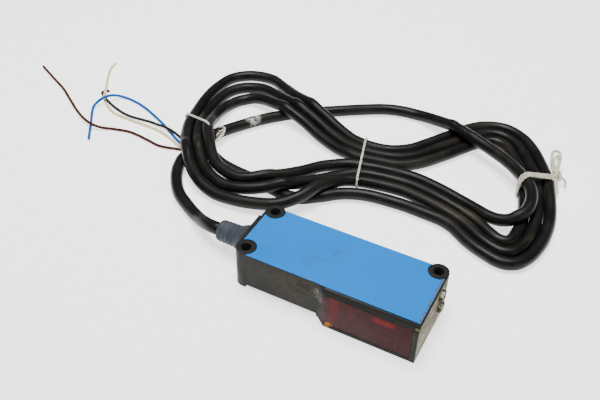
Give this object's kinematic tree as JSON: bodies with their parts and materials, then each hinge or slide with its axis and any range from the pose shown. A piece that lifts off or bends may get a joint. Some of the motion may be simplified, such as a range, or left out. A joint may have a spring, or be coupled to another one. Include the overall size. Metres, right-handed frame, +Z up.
{
  "type": "photoelectric sensor",
  "caption": "Block-shaped photoelectric sensor with a side-looking lens window, rotary adjusters on its end face, mounting holes and a tied-up free cable.",
  "frame": {"origin": "middle of the footprint of the sensor without its cable, on the surface that it lies on", "axes": "+X along the housing from the cable end to the control end, +Y away from the front window, +Z up through the mounting holes"},
  "size_m": [0.2792, 0.1567, 0.0182],
  "materials": {
    "housing": "satin, worn",
    "cover": "satin",
    "film": "satin, printed",
    "window": "polished, see-through tint",
    "seal": "matt",
    "frame": "matt",
    "lens": "polished",
    "board": "satin",
    "emitter": "moulded",
    "detector": "moulded",
    "steel": "zinc plated",
    "contacts": "gold plated",
    "chips": "matt",
    "capacitors": "glazed",
    "panel": "smoked, dirty",
    "pot": "moulded",
    "switch": "moulded",
    "adjuster": "moulded",
    "selector": "moulded",
    "indicators": "clear",
    "boot": "matt",
    "jacket": "satin PVC",
    "brown": "satin PVC",
    "white": "satin PVC",
    "blue": "satin PVC",
    "black": "satin PVC",
    "copper": "bare copper strands",
    "string": "cotton"
  },
  "bodies": {
    "sensor": {"housing": "housing", "top_cover": "cover", "cover_film": "film", "front_window": "window", "window_gasket": "seal", "optics_frame": "frame", "emitter_lens": "lens", "receiver_lens": "lens", "optics_board": "board", "emitter_led": "emitter", "receiver_photodiode": "detector", "main_board": "board", "board_screws": "steel", "board_link_pins": "contacts", "signal_processor": "chips", "output_transistors": "chips", "board_capacitors": "capacitors", "board_resistors": "chips", "control_panel": "panel", "control_board": "board", "sensitivity_pot": "pot", "mode_switch": "switch", "indicator_leds": "indicators", "cable_boot": "boot", "cable_entry": "jacket", "strain_clip": "steel", "inner_lead_brown": "brown", "inner_lead_white": "white", "inner_lead_blue": "blue", "inner_lead_black": "black", "cable_lead": "jacket", "cable_hank": "jacket", "cable_tail": "jacket", "conductor_brown": "brown", "conductor_white": "white", "conductor_blue": "blue", "conductor_black": "black", "conductor_tips": "copper", "hank_tie_left": "string", "hank_tie_middle": "string", "hank_tie_right": "string"},
    "sensitivity_adjuster": {"sensitivity_adjuster": "adjuster"},
    "mode_selector": {"mode_selector": "selector"}
  },
  "joints": [
    {"name": "sensitivity_turn", "type": "hinge", "parent": "sensor", "child": "sensitivity_adjuster", "pos_m": [0.04605, 0.0066, 0.0133], "axis": [1, 0, 0], "range_deg": [-135, 135]},
    {"name": "mode_turn", "type": "hinge", "parent": "sensor", "child": "mode_selector", "pos_m": [0.04605, 0.0066, 0.0075], "axis": [1, 0, 0], "range_deg": [0, 90]}
  ]
}
